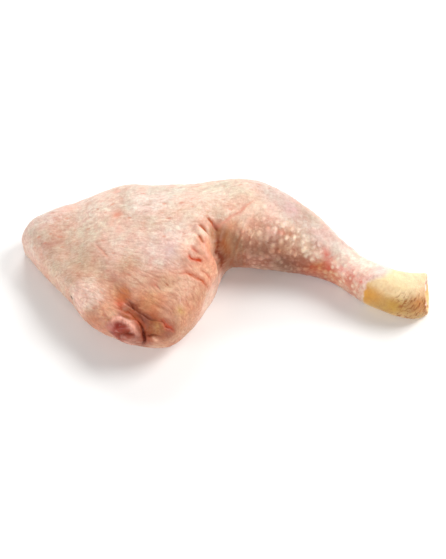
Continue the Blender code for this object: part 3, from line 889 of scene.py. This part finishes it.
def skin_finish():
    finish = Finish("moist skin")
    place = finish.place()
    flow = finish.attribute("flow", "Vector")
    leaning = finish.attribute("leaning", "Vector")
    drumstick = finish.attribute("drumstick")
    pimple = finish.attribute("pimple")
    pimpled = finish.attribute("pimpled")
    colour = finish.attribute("tint_and_shading", "Color")

    # Fat and flesh show through in soft patches and in short streaks along the grain.
    patches = finish.step(finish.noise(place, 9, detail=3, roughness=0.55), 0.32, 0.68)
    colour = finish.mix(1.0, colour, finish.mix(patches, PATCH_RED, PATCH_PALE), "MULTIPLY")
    mottle = finish.noise(place, 3.2, detail=4, roughness=0.62)
    mottled = finish.mix(finish.step(mottle, 0.3, 0.7), MOTTLE_DARK, MOTTLE_PALE)
    colour = finish.mix(0.9, colour, mottled, "MULTIPLY")
    streaks = finish.noise(finish.stretch(flow, (1 / 5, 1 / 1.9, 1 / 1.9)), 1, detail=5, roughness=0.62)
    streaked = finish.mix(finish.step(streaks, 0.3, 0.7), STREAK_DARK, STREAK_PALE)
    colour = finish.mix(0.9 - 0.6 * drumstick, colour, streaked, "MULTIPLY")
    flecks = finish.noise(flow, 1.3, detail=3, roughness=0.7)
    flecked = finish.mix(finish.step(flecks, 0.35, 0.65), FLECK_DARK, FLECK_PALE)
    colour = finish.mix(1.0, colour, flecked, "MULTIPLY")

    # Between the pimples the skin is darkened with painted shade over its own thin skin, brown near the
    # knee and red further down the leg, and over their tops it is stretched pale. The follicles are red,
    # and the stains and painted shade come last.
    blotches = finish.noise(place, 5, detail=3, roughness=0.6)
    down_leg = finish.node("ShaderNodeSeparateXYZ", None, {"Vector": leaning}, output=0)
    redder = finish.step(down_leg + 30 * (blotches - 0.5), 44, 58)
    between = finish.step(pimple, 0.75, 0.05) * pimpled * (0.45 + 0.55 * finish.step(blotches, 0.4, 0.55))
    gaps = finish.mix(redder, THIN_SKIN_AND_SHADE, THIN_RED_SKIN_AND_SHADE)
    colour = finish.mix(between, colour, gaps, "MULTIPLY")
    tops = finish.step(pimple, 0.3, 1.1) * pimpled
    colour = finish.mix(tops, colour, STRETCHED_SKIN, "MULTIPLY")
    pits = finish.step(finish.attribute("follicle"), 0.1, 0.7)
    colour = finish.mix(pits * 0.6, colour, FOLLICLE_RED)
    cover = finish.attribute("stain_and_shade", "Alpha") * (0.5 + finish.step(mottle, 0.25, 0.7))
    colour = finish.mix(cover, colour, finish.attribute("stain_and_shade", "Color"))

    # The yellow shank has fine scales, and brown lines in its wrinkles.
    yellow = finish.mix(0.7, finish.attribute("shank_tint_and_shading", "Color"), mottled, "MULTIPLY")
    across = finish.noise(finish.stretch(leaning, (1 / 1.4, 1 / 4, 1 / 4)), 1, detail=3, roughness=0.6)
    dashes = finish.step(across, 0.5, 0.62) * finish.attribute("wrinkled")
    yellow = finish.mix(dashes * 0.9, yellow, DASH_BROWN)
    creased = finish.step(finish.attribute("wrinkle"), 0.3, 0.9)
    yellow = finish.mix(creased * 0.5, yellow, WRINKLE_BROWN)
    scale_edge = finish.node(
        "ShaderNodeTexVoronoi",
        {"feature": "DISTANCE_TO_EDGE"},
        {"Vector": finish.stretch(leaning, (1 / 1.7, 1 / 2.4, 1 / 2.4)), "Scale": 1.0},
    )
    scales = finish.step(scale_edge, 0, 0.12)
    yellow = finish.mix(0.2 - 0.2 * scales, yellow, SCALE_EDGE, "MULTIPLY")
    on_shank = finish.attribute("yellow")
    colour = finish.mix(on_shank, colour, yellow)

    # Flesh, fat and sinews inside the cut.
    flesh = finish.attribute("flesh")
    fibres = finish.step(finish.noise(place, 1.6, detail=4, roughness=0.6), 0.35, 0.65)
    colour = finish.mix(flesh, colour, finish.mix(fibres, FLESH_RED, FLESH_PALE))
    sinews = finish.step(finish.attribute("sinew"), 0.25, 0.6) * flesh
    colour = finish.mix(sinews, colour, SINEW_WHITE)

    fine = finish.noise(finish.stretch(flow, (1 / 1.5, 1 / 0.7, 1 / 0.7)), 1, detail=3)
    grain = finish.noise(place, 0.8, detail=2)
    relief = fine + 0.7 * grain + 0.5 * scales * on_shank
    finish.set(
        Base_Color=colour,
        Roughness=0.36 + 0.2 * mottle,
        Subsurface_Weight=0.25,
        Subsurface_Radius=(1, 0.4, 0.25),
        Subsurface_Scale=1.5 * MM,
        IOR=1.4,
        Specular_IOR_Level=0.3,
        Coat_Weight=0.2 - 0.2 * finish.attribute("stain_and_shade", "Alpha"),
        Coat_Roughness=0.22,
        Normal=finish.bump(relief, distance=0.25, strength=0.7),
    )
    return finish.material


def keep_within(mesh, node):
    """Draws what stands out of the box of a solid back to it."""
    low, high = (np.array(corner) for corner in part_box(node))
    mesh.vertices.foreach_set("co", np.clip(read(mesh, "co"), low, high).ravel())


KEPT_SHARE = 0.63
thinned = modified(skin_mesh, ("DECIMATE", {"ratio": KEPT_SHARE}))
keep_within(thinned, "leg")
skin_piece = add_piece("leg_skin", thinned, skin_finish())
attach(skin_piece, "root")
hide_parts("leg")


# ---------------------------------------------------------------------------------------------------
# The shin bone: it grew down the inside of the drumstick, and the flesh round it holds it there. Its lower
# end shows at the cut as the two rounded knuckles of the joint, capped with smooth wet gristle, which is
# pale with pink showing through.
BONE_FACE_SIDE = 0.4
BONE_SMOOTHING_ROUNDS = 8
BONE_LUMP_HEIGHT = 0.12
BONE_LUMP_SIZE = 2.5
GRISTLE_FROM = 94
GRISTLE_WHITE = srgb(226, 214, 212)
GRISTLE_PINK = srgb(228, 190, 180)
SHAFT_CREAM = srgb(238, 218, 200)
SHAFT_PINK = srgb(214, 160, 146)
SPECK_RED = srgb(206, 128, 120)

bone_mesh = modified(
    merged_copy("shin_bone"),
    ("REMESH", {"mode": "VOXEL", "voxel_size": BONE_FACE_SIDE * MM}),
    ("SMOOTH", {"factor": 0.5, "iterations": BONE_SMOOTHING_ROUNDS}),
)
bone = read(bone_mesh, "co") / MM
bone += read(bone_mesh, "normal") * (BONE_LUMP_HEIGHT * uneven(bone, BONE_LUMP_SIZE, 4.1))[:, None]
bone_mesh.vertices.foreach_set("co", (bone * MM).ravel())
keep_within(bone_mesh, "shin_bone")


def bone_finish():
    finish = Finish("bone and gristle")
    place = finish.place()
    along = finish.node("ShaderNodeSeparateXYZ", None, {"Vector": place}, output=0)
    cloud = finish.step(finish.noise(place, 3.5, detail=3), 0.35, 0.65)
    specks = finish.step(finish.noise(place, 0.9, detail=2), 0.6, 0.75)
    gristle = finish.mix(cloud, GRISTLE_WHITE, GRISTLE_PINK)
    shaft = finish.mix(cloud, SHAFT_CREAM, SHAFT_PINK)
    colour = finish.mix(finish.step(along, GRISTLE_FROM - 2, GRISTLE_FROM + 2), shaft, gristle)
    finish.set(
        Base_Color=finish.mix(specks * 0.35, colour, SPECK_RED),
        Roughness=0.22 + 0.15 * cloud,
        Subsurface_Weight=0.2,
        Subsurface_Radius=(1, 0.6, 0.5),
        Subsurface_Scale=2 * MM,
        Coat_Weight=0.3,
        Coat_Roughness=0.12,
        Normal=finish.bump(finish.noise(place, 1.4), distance=0.1, strength=0.4),
    )
    return finish.material


bone_piece = add_piece("shin_bone_and_joint", bone_mesh, bone_finish())
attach(bone_piece, "root")
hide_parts("shin_bone")
